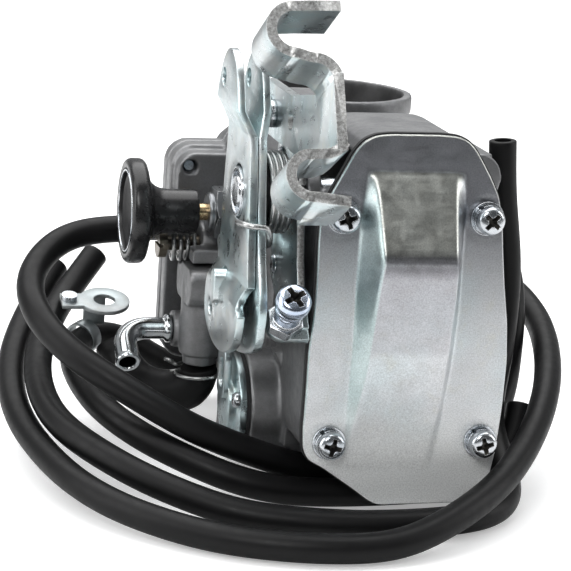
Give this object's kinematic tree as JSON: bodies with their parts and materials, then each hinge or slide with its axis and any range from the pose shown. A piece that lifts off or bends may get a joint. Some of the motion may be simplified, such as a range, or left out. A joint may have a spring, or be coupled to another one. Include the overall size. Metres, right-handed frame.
{
  "type": "carburetor",
  "caption": "Single-barrel slide carburetor with two-cable throttle lever, pull choke, cable bracket, float bowl and coiled vent hoses",
  "frame": {"origin": "centre of the air-side mouth, on the bore axis, in the plane the body stands on", "axes": "+Z along the bore to the engine side, -Y to the slide cover, +Y to the float bowl, -X to the throttle lever and choke knob"},
  "size_m": [0.1571, 0.165, 0.1326],
  "materials": {
    "black_plastic": "glossy black moulded plastic",
    "brass": "turned brass",
    "cast_body": "die-cast zinc alloy, fine matt grain",
    "chrome": "polished chrome tube",
    "fastener": "blue zinc-plated fastener",
    "float_plastic": "black float foam",
    "gasket": "black gasket sheet",
    "rubber_hose": "smooth black rubber, satin",
    "slide_metal": "machined slide, hard chrome",
    "spring": "drawn spring wire",
    "zinc_cover": "galvanised pressed cover, darker above and satin below",
    "zinc_plate": "bright zinc-plated pressed steel with faint blue and straw tints"
  },
  "bodies": {
    "root": {"mixing_body": "cast_body", "top_cover": "zinc_cover", "top_cover_gasket": "gasket", "top_cover_screws": "fastener", "top_cover_washers": "fastener", "shaft_bush": "black_plastic", "return_spring": "spring", "cable_bracket": "zinc_plate", "bracket_screws": "fastener", "stop_bracket": "zinc_plate", "stop_bracket_screws": "fastener", "stop_locknut": "fastener", "choke_nut": "fastener", "choke_spring": "spring", "air_cut_cover": "zinc_plate", "air_cut_cover_screws": "fastener", "air_cut_diaphragm": "gasket", "air_cut_spring": "spring", "float_bowl": "cast_body", "bowl_gasket": "gasket", "bowl_screws": "fastener", "needle_jet": "brass", "main_jet": "brass", "pilot_jet": "brass", "float_pin": "spring", "needle_seat": "brass", "air_screw_spring": "spring", "fuel_inlet_elbow": "chrome", "rubber_elbow": "rubber_hose", "elbow_clips": "spring", "vent_hose_upper": "rubber_hose", "vent_hose_outer": "rubber_hose", "overflow_hose": "rubber_hose", "drain_hose": "rubber_hose", "clamp_tag": "zinc_plate", "tag_screw": "fastener"},
    "throttle": {"throttle_shaft": "fastener", "lever_outer": "zinc_plate", "lever_inner": "zinc_plate", "lever_boss": "fastener", "slide_arm": "slide_metal", "arm_roller": "brass", "arm_screw": "fastener"},
    "slide": {"throttle_slide": "slide_metal", "slide_cap": "slide_metal", "slide_cap_screws": "fastener", "jet_needle": "brass", "needle_clip": "spring"},
    "choke": {"choke_knob": "black_plastic", "knob_ring": "fastener", "choke_rod": "brass", "starter_plunger": "brass"},
    "float": {"float": "float_plastic"},
    "float_valve": {"float_needle": "brass"},
    "air_screw": {"air_screw": "brass"},
    "stop_screw": {"stop_screw": "fastener"},
    "drain_screw": {"drain_screw": "brass"}
  },
  "joints": [
    {"name": "throttle_turn", "type": "hinge", "parent": "root", "child": "throttle", "pos_m": [-0.03, -0.044, 0.081], "axis": [-1, 0, 0], "range_deg": [0, 68], "deforming": ["return_spring"]},
    {"name": "slide_lift", "type": "slide", "parent": "root", "child": "slide", "axis": [0, -1, 0], "range_m": [0, 0.0269]},
    {"name": "choke_pull", "type": "slide", "parent": "root", "child": "choke", "axis": [-1, 0, 0], "range_m": [0, 0.009], "deforming": ["choke_spring"]},
    {"name": "float_swing", "type": "hinge", "parent": "root", "child": "float", "pos_m": [0, 0.029, 0.076], "axis": [1, 0, 0], "range_deg": [0, 8]},
    {"name": "float_valve_lift", "type": "slide", "parent": "root", "child": "float_valve", "axis": [0, 1, 0], "range_m": [0, 0.00075]},
    {"name": "air_screw_turn", "type": "hinge", "parent": "root", "child": "air_screw", "pos_m": [-0.03, 0.008, 0.0555], "axis": [1, 0, 0], "continuous": true},
    {"name": "stop_screw_turn", "type": "hinge", "parent": "root", "child": "stop_screw", "pos_m": [-0.0252, -0.062, 0.052], "axis": [0, -0.7314, 0.682], "continuous": true},
    {"name": "drain_screw_turn", "type": "hinge", "parent": "root", "child": "drain_screw", "pos_m": [0, 0.056, 0.048], "axis": [0, 1, 0], "continuous": true}
  ],
  "couplings": [
    {"joint": "slide_lift", "follows": "throttle_turn", "m_per_rad": 0.022616},
    {"joint": "float_valve_lift", "follows": "float_swing", "m_per_rad": 0.005}
  ]
}
